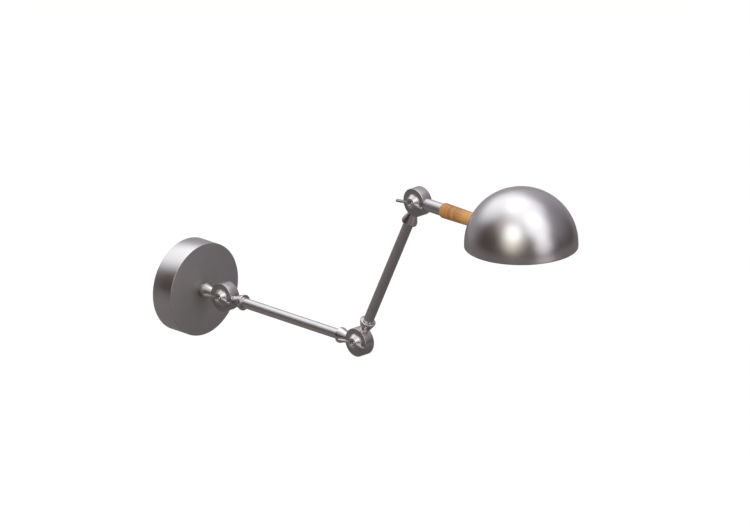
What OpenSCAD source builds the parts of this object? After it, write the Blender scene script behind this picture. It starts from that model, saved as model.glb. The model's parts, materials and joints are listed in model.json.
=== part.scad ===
// Articulating wall lamp: a round wall plate, two arms and a domed shade on three friction
// knuckles, each clamped by a wing nut.
// The wall is the plane Y = 0, the lamp stands out along -Y, and +Z is up.
// The origin is the middle of the wall plate's back. Sizes are in millimetres.

/* [Wall plate] */
// Diameter of the round wall plate
plate_d = 127; // [116:1:150]
// How far the plate's front stands off the wall
plate_depth = 33.6; // [30:0.2:45]
// Thickness of the plate's spun sheet
plate_wall = 1.2; // [0.8:0.1:2]
// Radius of the rounded edge round the plate's front
plate_edge_r = 0.6; // [0.4:0.1:2.5]

/* [Mounting strap] */
// Distance between the two screw holes, as on a wall box
strap_hole_spacing = 88.9; // [82:0.1:94]
// Diameter of each screw hole
strap_hole_d = 4.8; // [4:0.1:5.5]
// Distance from a screw hole to the strap's end
strap_end = 8.5; // [6:0.5:9]
// Width of the strap
strap_w = 20; // [18:1:24]
// Thickness of the strap
strap_t = 2; // [1.5:0.1:3]
// Distance from the wall to the back of the strap's raised middle
strap_lift = 9; // [8.5:0.5:12]
// Length of the strap's raised middle
strap_bridge_len = 52; // [46:1:58]
// Length of the slope at each end of the raised middle
strap_slope_len = 5; // [3:0.5:6]
// Diameter of the green ground screw's thread
ground_screw_d = 4; // [3:0.1:5]
// Distance from the strap's middle to the ground screw
ground_screw_at = 17; // [14:0.5:20]

/* [Threaded tubes] */
// Outer diameter of the hollow threaded tubes
nipple_d = 8; // [7.8:0.1:8.6]
// Bore of the hollow threaded tubes
nipple_bore_d = 5.8; // [5.6:0.1:6.4]
// How far the wall tube reaches into the stub, past the plate's front
nipple_grip = 13; // [10:0.5:15]
// Width across the flats of the hexagon nuts on the threaded tubes
nipple_nut_af = 13; // [12:0.5:15]
// Thickness of the hexagon nuts on the threaded tubes
nipple_nut_t = 3.5; // [2.5:0.1:4]

/* [Arms] */
// Distance from the plate's front to the first knuckle's axis
stub_len = 39.4; // [39:0.1:50]
// Distance between the axes of the first and second knuckles
arm_1_len = 254; // [150:1:350]
// Distance between the axes of the second and third knuckles
arm_2_len = 249.5; // [150:0.5:350]
// Angle of the first arm above the horizontal
arm_1_angle = 0; // [-30:0.5:30]
// Angle of the second arm above the horizontal
arm_2_angle = 63.9; // [30:0.1:90]
// Angle of the shade's rod above the horizontal
shade_arm_angle = 0; // [-30:0.5:30]
// Outer diameter of the arm tubes
arm_tube_d = 13.8; // [13:0.1:15]
// Distance from a knuckle's axis to the end of an arm tube
arm_tube_start = 36.4; // [35.8:0.1:37.4]
// Diameter of the turned necks between the knuckles and the arm tubes
neck_d = 11.2; // [10.6:0.1:12]
// How far a neck reaches into the arm tube
neck_grip = 12; // [8:0.5:20]

/* [Knuckles] */
// Diameter of the knuckle drums
knuckle_d = 39; // [36:0.5:42]
// Thickness of a whole knuckle, both halves together
knuckle_t = 15.8; // [15:0.1:18]
// Gap between the two halves at the parting line
lap_gap = 0.5; // [0.4:0.05:0.8]
// Room round the other half where a neck is cut back
lap_clearance = 0.5; // [0.3:0.05:0.8]
// Bevel round the outer edge of each half
knuckle_bevel = 0.5; // [0.3:0.1:1]
// Outer diameter of the ring channel that the wires lie in
channel_out_d = 31; // [29:0.5:32]
// Diameter of the boss round the bolt, inside the channel
boss_d = 14; // [12:0.5:15]
// Depth of the channel in each half
channel_depth = 4.6; // [3:0.1:5]
// Diameter of the knuckle bolts
bolt_d = 6; // [5:0.1:7]
// Diameter of the domed bolt heads
bolt_head_d = 15; // [12:0.5:18]
// Height of the domed bolt heads
bolt_head_h = 3.4; // [2.5:0.1:4]
// Thickness of the friction washer between the halves
friction_washer_t = 1.2; // [1:0.1:2]
// Diameter of the washer under a wing nut
face_washer_d = 24; // [23:0.5:28]
// Thickness of the washer under a wing nut
face_washer_t = 0.6; // [0.5:0.1:1.6]

/* [Wing nuts] */
// Diameter of a wing nut's hub at its base
hub_base_d = 23.2; // [22:0.2:25.6]
// Diameter of a wing nut's hub at its face
hub_face_d = 14.4; // [12:0.2:15]
// Height of a wing nut's hub
hub_h = 5.6; // [4:0.1:7]
// Height of the straight rim at the hub's base
hub_rim_h = 0.5; // [0.3:0.1:1.5]
// Distance between the tips of the two wings
wing_span = 49; // [44:0.5:54]
// Thickness of the wings
wing_t = 3; // [2:0.1:3.5]
// How far the wing tips stand out past the hub's face
wing_rise = 4.4; // [3:0.1:6]
// Radius of the round wing tips
wing_tip_r = 2.7; // [2:0.1:3]
// Diameter of the sunk hole round the bolt's end
sink_d = 9; // [7.5:0.1:10]
// Depth of the sunk hole round the bolt's end
sink_depth = 2.6; // [1.5:0.1:3.2]

/* [Collars] */
// Distance from a knuckle's axis to the start of a collar
collar_start = 21; // [20.6:0.1:22]
// Length of a collar's flare, a straight cone
flare_len = 13.1; // [11:0.1:13.6]
// Diameter of a collar at its rim
collar_rim_d = 21.4; // [19:0.1:22]
// Thickness of a collar's rim
collar_rim_t = 2.2; // [1.6:0.1:3]
// Length of the lip that a collar lays on the arm tube
collar_lip_len = 2; // [1.6:0.1:3]
// Wall of that lip
collar_lip = 1.5; // [0.8:0.1:2]
// Rounding of a collar's two edges on the side of the tube
collar_edge_r = 0.3; // [0.2:0.1:0.7]
// Thickness of the threaded base inside the wall collar
wall_collar_base = 3.8; // [3:0.1:5]

/* [Handle] */
// Outer diameter of the metal rod at the shade's knuckle
rod_d = 17; // [15.4:0.1:17.4]
// Diameter of the spigot that holds the rod on its knuckle
spigot_d = 12; // [11.2:0.1:13]
// Length of that spigot from the knuckle's axis
spigot_len = 36; // [32:0.5:40]
// Distance from the knuckle's axis to the wooden handle
handle_start = 48.5; // [41:0.5:52]
// Largest diameter of the wooden handle, at the knuckle's end
handle_d = 20.8; // [18.5:0.1:24]
// Diameter of the wooden handle at the shade
handle_end_d = 18.6; // [17:0.1:20]
// Rounding of the handle's shoulder
handle_shoulder_r = 3; // [1.5:0.1:4]

/* [Shade] */
// Radius of the domed shade
shade_r = 76.2; // [70:0.1:84]
// Thickness of the shade's spun sheet
shade_t = 0.9; // [0.7:0.1:1.5]
// Height of the straight skirt under the dome
skirt_h = 4.5; // [3:0.1:10]
// Distance from the third knuckle's axis to the shade's axis
shade_reach = 195.5; // [185:0.5:230]
// Drop from the handle's axis to the centre of the dome
shade_drop = 10.1; // [9:0.1:14]
// Diameter of the saddle washer inside the shade
saddle_d = 19; // [17:0.5:22]
// Distance from the shade's sheet to the flat of the saddle washer
saddle_t = 4; // [3.6:0.1:6]

/* [Lamp holder and lamp] */
// Outer diameter of the lamp holder
holder_d = 26.4; // [25:0.1:27]
// Length of the holder's cap
holder_cap_len = 13; // [11:0.5:15]
// Thickness of the cap's base and wall
holder_wall = 1.7; // [1.4:0.1:2]
// Length of the holder's open end, past its cap
holder_len = 18; // [15:0.5:22]
// Diameter of the lamp's screw cap
lamp_cap_d = 13.8; // [13:0.1:14.5]
// Length of the lamp's screw cap
lamp_cap_len = 17; // [15:0.5:18]
// Diameter of the tubular lamp
lamp_d = 22; // [16:0.5:22]
// Length of the lamp's glass
lamp_len = 68; // [50:1:80]
// Thickness of the lamp's glass
glass_t = 1; // [0.7:0.1:1.5]

/* [Wires] */
// Diameter of one insulated wire
wire_d = 1.9; // [1.5:0.1:1.9]
// Diameter of the bores that the wires run through
wire_bore_d = 6.4; // [6.2:0.1:6.8]
// Length of each wire connector behind the plate
connector_len = 17; // [14:0.5:20]
// Diameter of a wire connector at its mouth
connector_d = 9; // [8:0.5:10]

/* [Fits] */
// Clearance all round between pieces that are fixed together
snug = 0.03; // [0.02:0.01:0.05]
// Clearance all round between a shaft and what turns on it
running = 0.06; // [0.04:0.01:0.09]
// Clearance between flat faces that turn past each other
face_gap = 0.2; // [0.15:0.05:0.3]

/* [Hidden] */
$fn = 72;
round_fn = 144; // the shade and the wall plate
through = 1; // how far a cut runs past the face that it opens
edge_steps = 4;
tip_steps = 8;
wire_gap = 0.1; // between two wires side by side, and from a wire to its wall
feed_bend_r = 2.6; // where a wire leaves the wall tube
feed_turn_r = 4; // where it turns forward round the strap's edge

knuckle_r = knuckle_d / 2;
half_t = knuckle_t / 2;
neck_r = neck_d / 2;
nipple_r = nipple_d / 2;
bolt_r = bolt_d / 2;
tube_r = arm_tube_d / 2;
wire_r = wire_d / 2;
boss_r = boss_d / 2;
channel_out_r = channel_out_d / 2;
friction_washer_r = boss_r - 0.2;

// Knuckle axes, as distance out from the wall and height above the origin
knuckle_1 = [plate_depth + stub_len, 0];
knuckle_2 = knuckle_1 + arm_1_len * [cos(arm_1_angle), sin(arm_1_angle)];
knuckle_3 = knuckle_2 + arm_2_len * [cos(arm_2_angle), sin(arm_2_angle)];

// Stations along a neck, from its knuckle's axis
stub_neck_end = stub_len - wall_collar_base - face_gap;
nipple_tip = stub_len - nipple_grip;
flare_end = collar_start + flare_len;
rim_end = flare_end + collar_rim_t;
collar_end = rim_end + collar_lip_len;

// Stations along the rod and the handle, from the third knuckle's axis
sheet_out = shade_reach - sqrt(pow(shade_r, 2) - pow(shade_drop, 2));
sheet_in = shade_reach - sqrt(pow(shade_r - shade_t, 2) - pow(shade_drop, 2));
saddle_flat = sheet_in + saddle_t;
holder_start = saddle_flat + nipple_nut_t;
holder_mouth = holder_start + holder_cap_len + holder_len;
handle_nipple_start = 24;
handle_nipple_end = holder_start + holder_wall + 2;
lamp_cap_end = holder_mouth;
lamp_cap_start = lamp_cap_end - lamp_cap_len;

// Depth of the nut's base in front of the knuckle's middle, and the place of its face
nut_base_at = half_t + face_washer_t + face_gap;
nut_face_at = nut_base_at + hub_h;

// Places of the wires in a knuckle half's bore and of the loops round the boss
wire_side = wire_r + wire_gap / 2;
wire_off = lap_gap / 2 + wire_gap + wire_r;
loop_in_r = boss_r + 0.6 + wire_r;
loop_out_r = loop_in_r + wire_d + wire_gap;
wire_end = loop_out_r + wire_r + 0.3;

STEEL = "#8d8788";
DARK_STEEL = "#6d6766";
BRASS = "#b8934a";

// Points along an arc about [x, y], from angle a0 to angle a1
function arc(x, y, r, a0, a1, n) =
    [for (i = [0:n]) let (a = a0 + (a1 - a0) * i / n) [x + r * cos(a), y + r * sin(a)]];

// Puts a piece drawn along +Z from a knuckle's axis at that knuckle, pointing out and up by angle
module along(knuckle, angle) {
    translate([0, -knuckle[0], knuckle[1]]) rotate([90 - angle, 0, 0]) children();
}

// Puts a piece drawn along +Z at a knuckle, pointing at its wing nut's side
module to_nut_side(knuckle) {
    translate([0, -knuckle[0], knuckle[1]]) rotate([0, -90, 0]) children();
}

// Side view at a knuckle: X is out from the wall, Y is up, and +Z is the wing nut's side
module side_view(knuckle) {
    translate([0, -knuckle[0], knuckle[1]]) rotate([90, 0, -90]) children();
}

// Turns a piece drawn at one end of an arm round to the arm's other end
module at_far_end(len) {
    translate([0, 0, len]) rotate([180, 0, 0]) children();
}

// A ring along +Z
module ring(r_out, r_in, h) {
    difference() {
        cylinder(r = r_out, h = h);
        translate([0, 0, -through]) cylinder(r = r_in, h = h + 2 * through);
    }
}

// A round bar from one point to another
module bar_between(from, to, r) {
    d = to - from;
    translate(from)
        rotate([0, atan2(norm([d[0], d[1]]), d[2]), atan2(d[1], d[0])])
            cylinder(r = r, h = norm(d));
}

// The spun cup against the wall
module wall_plate() {
    plate_r = plate_d / 2;
    color(DARK_STEEL) rotate([90, 0, 0]) difference() {
        rotate_extrude($fn = round_fn) {
            square([plate_r, plate_depth - plate_edge_r]);
            square([plate_r - plate_edge_r, plate_depth]);
            translate([plate_r - plate_edge_r, plate_depth - plate_edge_r]) circle(r = plate_edge_r);
        }
        translate([0, 0, -through])
            cylinder(r = plate_r - plate_wall, h = plate_depth - plate_wall + through, $fn = round_fn);
        cylinder(r = nipple_r + snug, h = plate_depth + through);
    }
}

// The bent steel strap that screws to the box in the wall
module mounting_strap() {
    foot = strap_hole_spacing / 2 + strap_end;
    bridge = strap_bridge_len / 2;
    slope = bridge + strap_slope_len;
    side = [[foot, 0], [foot, strap_t], [slope, strap_t], [bridge, strap_lift + strap_t]];
    back = [[slope - strap_t / 2, 0], [bridge - strap_t / 2, strap_lift]];
    outline = concat(
        side,
        [for (i = [len(side) - 1:-1:0]) [-side[i][0], side[i][1]]],
        [for (p = back) [-p[0], p[1]]],
        [for (i = [len(back) - 1:-1:0]) back[i]]
    );
    color("#b5b3ae") rotate([90, 0, 0]) difference() {
        rotate([90, 0, 0]) linear_extrude(height = strap_w, center = true) polygon(outline);
        for (side_x = [-1, 1])
            translate([side_x * strap_hole_spacing / 2, 0, -through])
                cylinder(d = strap_hole_d, h = strap_t + 2 * through);
        cylinder(r = nipple_r + snug, h = strap_lift + strap_t + through);
        translate([-ground_screw_at, 0, 0])
            cylinder(d = ground_screw_d + 2 * snug, h = strap_lift + strap_t + through);
    }
}

// A hexagon nut on a threaded tube
module nipple_nut() {
    difference() {
        cylinder(d = nipple_nut_af / cos(30), h = nipple_nut_t, $fn = 6);
        translate([0, 0, -through]) cylinder(r = nipple_r + snug, h = nipple_nut_t + 2 * through);
    }
}

// The nut behind the strap
module strap_nut() {
    color(BRASS) rotate([90, 0, 0]) translate([0, 0, strap_lift - nipple_nut_t]) nipple_nut();
}

// The threaded tube from the strap through the plate into the stub
module wall_nipple() {
    back = strap_lift - nipple_nut_t - 1;
    color("#9a9a98") rotate([90, 0, 0]) translate([0, 0, back])
        ring(nipple_r, nipple_bore_d / 2, knuckle_1[0] - nipple_tip - back);
}

// The green screw that the house's earth wire goes under
module ground_screw() {
    head_h = ground_screw_d * 0.65;
    shank = strap_t + 4;
    color("#3f7d4a") rotate([90, 0, 0]) translate([-ground_screw_at, 0, strap_lift + strap_t]) {
        difference() {
            cylinder(r1 = ground_screw_d, r2 = ground_screw_d * 0.8, h = head_h);
            translate([-ground_screw_d, -0.5, head_h - 1]) cube([2 * ground_screw_d, 1, 2]);
        }
        translate([0, 0, -shank]) cylinder(d = ground_screw_d, h = shank);
    }
}

// Half outline of a turned collar: radius along X, distance from the knuckle's axis along Y
function collar_outline(end_at) =
    let (
        rim_r = collar_rim_d / 2,
        lip_r = tube_r + collar_lip
    )
    concat(
        [[0, collar_start], [neck_r + 0.4, collar_start], [rim_r, flare_end]],
        arc(rim_r - collar_edge_r, rim_end - collar_edge_r, collar_edge_r, 0, 90, edge_steps),
        [[lip_r, rim_end]],
        arc(lip_r - collar_edge_r, end_at - collar_edge_r, collar_edge_r, 0, 90, edge_steps),
        [[0, end_at]]
    );

// A turned collar over the joint of a neck and an arm tube
module arm_collar() {
    color(STEEL) difference() {
        rotate_extrude() polygon(collar_outline(collar_end));
        cylinder(r = neck_r + snug, h = collar_end);
        translate([0, 0, arm_tube_start]) cylinder(r = tube_r + snug, h = collar_end);
    }
}

// The collar that clamps the wall plate; the stub turns inside it
module wall_collar() {
    color(STEEL) along(knuckle_1, 180) difference() {
        rotate_extrude() polygon(collar_outline(stub_len));
        cylinder(r = neck_r + running, h = stub_len - wall_collar_base);
        cylinder(r = nipple_r + snug, h = stub_len + through);
    }
}

// The two wires from the wall tube round the strap's edges to their connectors
module feed_wires() {
    back = strap_lift - nipple_nut_t - 1;
    bend_at = back - 0.2;
    behind = bend_at - feed_bend_r;
    turn_at = strap_w / 2 + 4;
    mouth = behind + feed_turn_r + 4.6;
    color("#2b2b2d") translate([wire_off, 0, 0]) side_view([0, 0]) for (side = [0, 1]) mirror([0, side, 0]) {
        bar_between([bend_at, wire_side, 0], [knuckle_1[0] - nipple_tip - 0.2, wire_side, 0], wire_r);
        translate([bend_at, wire_side + feed_bend_r, 0])
            rotate([0, 0, 180]) rotate_extrude(angle = 90) translate([feed_bend_r, 0]) circle(r = wire_r);
        bar_between([behind, wire_side + feed_bend_r, 0], [behind, turn_at, 0], wire_r);
        translate([behind + feed_turn_r, turn_at, 0])
            rotate([0, 0, 90]) rotate_extrude(angle = 90) translate([feed_turn_r, 0]) circle(r = wire_r);
        bar_between([behind + feed_turn_r, turn_at + feed_turn_r, 0], [mouth, turn_at + feed_turn_r, 0], wire_r);
    }
}

// The twist-on connectors on the ends of the feed wires
module wire_connectors() {
    back = strap_lift - nipple_nut_t - 1;
    behind = back - 0.2 - feed_bend_r;
    up = strap_w / 2 + 4 + feed_turn_r;
    start = behind + feed_turn_r + 1.6;
    color("#c8642a") translate([wire_off, 0, 0]) side_view([0, 0]) for (side = [-1, 1])
        translate([start, side * up, 0]) rotate([0, 90, 0]) difference() {
            union() {
                cylinder(d = connector_d, h = 4);
                translate([0, 0, 4]) cylinder(d1 = connector_d - 1, d2 = connector_d * 0.6, h = connector_len - 4);
            }
            translate([0, 0, -through]) cylinder(r = wire_r + snug, h = 3 + through + snug);
        }
}

// The rear half of a knuckle, with its neck along +Z; the front half is its mirror image
module knuckle_half(neck_radius, neck_len, bolt_clearance, washer_seat) {
    drum_t = half_t - lap_gap / 2;
    difference() {
        union() {
            translate([lap_gap / 2, 0, 0]) rotate([0, 90, 0]) {
                cylinder(r = knuckle_r, h = drum_t - knuckle_bevel);
                translate([0, 0, drum_t - knuckle_bevel])
                    cylinder(r1 = knuckle_r, r2 = knuckle_r - knuckle_bevel, h = knuckle_bevel);
            }
            difference() {
                cylinder(r = neck_radius, h = neck_len);
                translate([lap_gap / 2, 0, 0]) rotate([0, -90, 0])
                    cylinder(r = knuckle_r + lap_clearance, h = neck_radius + lap_gap + through);
            }
        }
        rotate([0, 90, 0]) ring(channel_out_r, boss_r, channel_depth);
        rotate([0, 90, 0]) cylinder(r = boss_r + through, h = friction_washer_t / 2 + washer_seat);
        rotate([0, 90, 0]) cylinder(r = bolt_r + bolt_clearance, h = half_t + through);
        translate([0, 0, channel_out_r - 1]) cylinder(d = wire_bore_d, h = neck_len);
    }
}

module rear_half(neck_radius, neck_len) {
    knuckle_half(neck_radius, neck_len, snug, 0);
}

module front_half(neck_radius, neck_len) {
    mirror([1, 0, 0]) knuckle_half(neck_radius, neck_len, running, face_gap);
}

// The rear half of the first knuckle, which turns on the wall tube inside the wall collar
module stub_knuckle() {
    color(STEEL) along(knuckle_1, 180) difference() {
        rear_half(neck_r, stub_neck_end);
        translate([0, 0, nipple_tip - 0.2]) cylinder(r = nipple_r + running, h = nipple_grip);
    }
}

// An arm's end pieces: a front half with its neck at the inner end, a rear half at the outer
module inner_knuckle() {
    color(STEEL) front_half(neck_r, arm_tube_start + neck_grip);
}

module outer_knuckle(len) {
    color(STEEL) at_far_end(len) rear_half(neck_r, arm_tube_start + neck_grip);
}

// The straight tube of an arm
module arm_tube(len) {
    color(STEEL) translate([0, 0, arm_tube_start])
        ring(tube_r, neck_r + snug, len - 2 * arm_tube_start);
}

// The bolt of a knuckle, its domed head behind and its end in the wing nut's sunk hole
module knuckle_bolt() {
    head_r = bolt_head_d / 2;
    cap_r = (pow(head_r, 2) + pow(bolt_head_h - 1, 2)) / (2 * (bolt_head_h - 1));
    tip = nut_face_at - 1;
    color(DARK_STEEL) {
        translate([0, 0, -half_t]) cylinder(r = bolt_r, h = half_t + tip - 1);
        translate([0, 0, tip - 1]) cylinder(r1 = bolt_r, r2 = bolt_r - 0.8, h = 1);
        translate([0, 0, -half_t - 1]) cylinder(r = head_r, h = 1);
        intersection() {
            translate([0, 0, cap_r - half_t - bolt_head_h]) sphere(r = cap_r);
            translate([0, 0, -half_t - bolt_head_h - through])
                cylinder(r = head_r, h = bolt_head_h - 1 + through);
        }
    }
}

// The fibre washer between the two bosses
module friction_washer() {
    color("#3a3432") translate([0, 0, -friction_washer_t / 2])
        ring(friction_washer_r, bolt_r + running, friction_washer_t);
}

// The plain washer between a knuckle's front and its wing nut
module face_washer() {
    color(STEEL) translate([0, 0, half_t]) ring(face_washer_d / 2, bolt_r + running, face_washer_t);
}

// One wing's outline: distance from the bolt's axis along X, height over the nut's base along Y
function wing_outline() =
    let (
        tip_at = wing_span / 2 - wing_tip_r,
        tip_up = hub_h + wing_rise - wing_tip_r
    )
    concat(
        [[hub_face_d / 2 - 1.6, 1.2], [hub_base_d / 2 - 0.6, 1.2], [hub_base_d / 2 + 3.4, 2.2]],
        arc(tip_at, tip_up, wing_tip_r, -52, 112, tip_steps),
        [[hub_face_d / 2 + 4.6, hub_h + 0.9], [hub_face_d / 2 - 0.4, hub_h - 0.4]]
    );

// A cast wing nut, its base on Z = 0 and its wings along Y
module wing_nut() {
    color(STEEL) translate([0, 0, nut_base_at]) difference() {
        union() {
            cylinder(d = hub_base_d, h = hub_rim_h);
            translate([0, 0, hub_rim_h])
                cylinder(r1 = hub_base_d / 2 - 0.3, r2 = hub_face_d / 2, h = hub_h - hub_rim_h);
            for (side = [0, 1]) mirror([0, side, 0])
                rotate([90, 0, 90]) linear_extrude(height = wing_t, center = true) polygon(wing_outline());
        }
        translate([0, 0, -through]) cylinder(r = bolt_r + running, h = hub_h + 2 * through);
        translate([0, 0, hub_h - sink_depth]) cylinder(d = sink_d, h = sink_depth + through);
    }
}

// Two wires along an arm, from the front half's side at one end to the rear half's at the other
module arm_wires(len) {
    color("#2b2b2d") for (side = [-1, 1])
        bar_between([-wire_off, side * wire_side, wire_end], [wire_off, side * wire_side, len - wire_end], wire_r);
}

// The wires inside the stub
module stub_wires() {
    color("#2b2b2d") along(knuckle_1, 180) for (side = [-1, 1])
        bar_between([wire_off, side * wire_side, wire_end], [wire_off, side * wire_side, nipple_tip - 0.4], wire_r);
}

// The two wires' loops round a knuckle's boss, from one neck's angle on by sweep
module wire_loops(start, sweep) {
    color("#2b2b2d") rotate([0, 0, start]) for (r = [loop_in_r, loop_out_r])
        rotate_extrude(angle = sweep) translate([r, 0]) circle(r = wire_r);
}

// The wires from the third knuckle through the handle to the lamp holder
module shade_wires() {
    color("#2b2b2d") for (side = [-1, 1])
        bar_between([-wire_off, side * wire_side, wire_end], [-wire_off, side * wire_side, handle_nipple_end + 3], wire_r);
}

// The front half of the third knuckle, with the spigot that the rod sits on
module shade_knuckle() {
    color(STEEL) difference() {
        front_half(spigot_d / 2, spigot_len);
        translate([0, 0, handle_nipple_start]) cylinder(r = nipple_r + snug, h = spigot_len);
    }
}

// The metal rod, its end cut to the shape of the drum
module shade_rod() {
    color(STEEL) difference() {
        translate([0, 0, half_t]) ring(rod_d / 2, spigot_d / 2 + snug, handle_start - half_t);
        translate([-lap_gap / 2, 0, 0]) rotate([0, 90, 0]) cylinder(r = knuckle_r + lap_clearance, h = rod_d);
        rotate([0, -90, 0]) cylinder(r = knuckle_r + snug, h = rod_d);
    }
}

// The threaded tube through the handle into the lamp holder
module handle_nipple() {
    color("#9a9a98") translate([0, 0, handle_nipple_start])
        ring(nipple_r, nipple_bore_d / 2, handle_nipple_end - handle_nipple_start);
}

// The turned wooden handle, its end hollowed to fit the dome
module wood_handle() {
    shoulder_x = handle_d / 2 - handle_shoulder_r;
    handle_len = shade_reach - handle_start;
    taper_len = sheet_out - handle_start;
    slope = (handle_d - handle_end_d) / 2 / (taper_len - handle_shoulder_r);
    color("#b57c48") difference() {
        translate([0, 0, handle_start]) rotate_extrude() {
            translate([shoulder_x, handle_shoulder_r]) circle(r = handle_shoulder_r);
            polygon([
                [0, 0],
                [shoulder_x, 0],
                [handle_d / 2, handle_shoulder_r],
                [handle_d / 2 - slope * (handle_len - handle_shoulder_r), handle_len],
                [0, handle_len]
            ]);
        }
        translate([0, 0, handle_start - through]) cylinder(r = nipple_r + snug, h = handle_len + 2 * through);
        translate([0, -shade_drop, shade_reach]) sphere(r = shade_r + snug, $fn = round_fn);
    }
}

// A filled dome of radius r on a straight skirt, as a half outline
module dome_outline(r, skirt) {
    intersection() {
        circle(r = r, $fn = round_fn);
        square([r, r]);
    }
    translate([0, -skirt]) square([r, skirt]);
}

// The spun dome, open underneath
module shade() {
    color(STEEL) difference() {
        translate([0, -shade_drop, shade_reach]) rotate([-90, 0, 0]) rotate_extrude($fn = round_fn) difference() {
            dome_outline(shade_r, skirt_h);
            dome_outline(shade_r - shade_t, skirt_h + through);
        }
        translate([0, 0, sheet_out - 3]) cylinder(r = nipple_r + snug, h = saddle_t + 3);
    }
}

// The washer inside the shade, curved on one side to the dome and flat on the other
module saddle_washer() {
    color(DARK_STEEL) intersection() {
        translate([0, 0, sheet_in - 3]) ring(saddle_d / 2, nipple_r + snug, saddle_t + 3);
        translate([0, -shade_drop, shade_reach]) sphere(r = shade_r - shade_t - snug, $fn = round_fn);
    }
}

// The nut that clamps the shade to the handle
module shade_nut() {
    color(BRASS) translate([0, 0, saddle_flat]) nipple_nut();
}

// The lamp holder's cap, screwed on the threaded tube
module holder_cap() {
    color("#26241f") translate([0, 0, holder_start]) difference() {
        cylinder(d = holder_d, h = holder_cap_len);
        translate([0, 0, holder_wall + 2]) cylinder(d = holder_d - 2 * holder_wall, h = holder_cap_len);
        translate([0, 0, -through]) cylinder(r = nipple_r + snug, h = holder_wall + 2 + 2 * through);
    }
}

// The lamp holder's body, which sits in the cap and has a ribbed sleeve round its mouth
module holder_body() {
    tail_r = holder_d / 2 - holder_wall - snug;
    tail_len = 7;
    bore_r = lamp_cap_d / 2 + 0.9;
    color("#26241f") translate([0, 0, holder_start + holder_cap_len]) difference() {
        union() {
            translate([0, 0, -tail_len]) cylinder(r = tail_r, h = tail_len);
            cylinder(d = holder_d, h = holder_len);
        }
        translate([0, 0, 3 - tail_len]) cylinder(r = bore_r, h = holder_len + tail_len);
        for (side = [-1, 1]) translate([-wire_off, side * wire_side, -tail_len - through])
            cylinder(r = wire_r + snug, h = through + 1.2);
    }
}

// The brass shell that the lamp screws into
module holder_screw_shell() {
    start = holder_start + holder_cap_len - 4;
    color(BRASS) translate([0, 0, start])
        ring(lamp_cap_d / 2 + 0.8, lamp_cap_d / 2 + 0.3, holder_mouth - start - 1);
}

// The sprung tongue that touches the lamp's tip
module holder_contact() {
    floor_at = holder_start + holder_cap_len - 4;
    width = 4;
    reach = lamp_cap_start - 2 - floor_at;
    color(BRASS) translate([-width / 2, -4, floor_at]) {
        cube([width, 7, 0.5]);
        cube([width, 0.5, reach - 0.2]);
        translate([0, 0, reach - 0.7]) cube([width, 7, 0.5]);
    }
}

// The lamp's screw cap with its contact tip
module lamp_cap() {
    color("#c9c4b8") {
        translate([0, 0, lamp_cap_start]) cylinder(d = lamp_cap_d, h = lamp_cap_len);
        translate([0, 0, lamp_cap_start - 2]) cylinder(r1 = 2.6, r2 = 4.6, h = 2);
    }
}

// A filled tube lamp: a cone from its cap, a straight tube and a round end
module lamp_shape(inset) {
    glass_r = lamp_d / 2 - inset;
    cone_len = 4;
    tube_len = lamp_len - lamp_d / 2;
    cylinder(r1 = lamp_cap_d / 2 - inset, r2 = glass_r, h = cone_len);
    translate([0, 0, cone_len]) cylinder(r = glass_r, h = tube_len - cone_len);
    translate([0, 0, tube_len]) intersection() {
        sphere(r = glass_r);
        translate([0, 0, -through]) cylinder(r = glass_r + through, h = glass_r + 2 * through);
    }
}

// The tubular lamp's opal glass, open where its screw cap closes it
module lamp_glass() {
    color("#efeadd") translate([0, 0, lamp_cap_end]) difference() {
        lamp_shape(0);
        lamp_shape(glass_t);
        translate([0, 0, -through]) cylinder(r = lamp_cap_d / 2 - glass_t, h = 2 * through);
    }
}

wall_plate();
mounting_strap();
strap_nut();
wall_nipple();
ground_screw();
wall_collar();
feed_wires();
wire_connectors();

stub_knuckle();
stub_wires();
to_nut_side(knuckle_1) knuckle_bolt();  // knuckle_1_bolt
to_nut_side(knuckle_1) friction_washer();  // knuckle_1_friction_washer
side_view(knuckle_1) wire_loops(arm_1_angle, 180 - arm_1_angle);  // knuckle_1_wires

along(knuckle_1, arm_1_angle) inner_knuckle();  // arm_1_inner_knuckle
to_nut_side(knuckle_1) face_washer();  // knuckle_1_face_washer
along(knuckle_1, arm_1_angle) arm_collar();  // arm_1_inner_collar
along(knuckle_1, arm_1_angle) arm_tube(arm_1_len);  // arm_1_tube
along(knuckle_1, arm_1_angle) at_far_end(arm_1_len) arm_collar();  // arm_1_outer_collar
along(knuckle_1, arm_1_angle) outer_knuckle(arm_1_len);  // arm_1_outer_knuckle
along(knuckle_1, arm_1_angle) arm_wires(arm_1_len);  // arm_1_wires
to_nut_side(knuckle_2) knuckle_bolt();  // knuckle_2_bolt
to_nut_side(knuckle_2) friction_washer();  // knuckle_2_friction_washer
side_view(knuckle_2) wire_loops(arm_2_angle, 180 + arm_1_angle - arm_2_angle);  // knuckle_2_wires

along(knuckle_2, arm_2_angle) inner_knuckle();  // arm_2_inner_knuckle
to_nut_side(knuckle_2) face_washer();  // knuckle_2_face_washer
along(knuckle_2, arm_2_angle) arm_collar();  // arm_2_inner_collar
along(knuckle_2, arm_2_angle) arm_tube(arm_2_len);  // arm_2_tube
along(knuckle_2, arm_2_angle) at_far_end(arm_2_len) arm_collar();  // arm_2_outer_collar
along(knuckle_2, arm_2_angle) outer_knuckle(arm_2_len);  // arm_2_outer_knuckle
along(knuckle_2, arm_2_angle) arm_wires(arm_2_len);  // arm_2_wires
to_nut_side(knuckle_3) knuckle_bolt();  // knuckle_3_bolt
to_nut_side(knuckle_3) friction_washer();  // knuckle_3_friction_washer
side_view(knuckle_3) wire_loops(180 + arm_2_angle, 180 + shade_arm_angle - arm_2_angle);  // knuckle_3_wires

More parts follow.
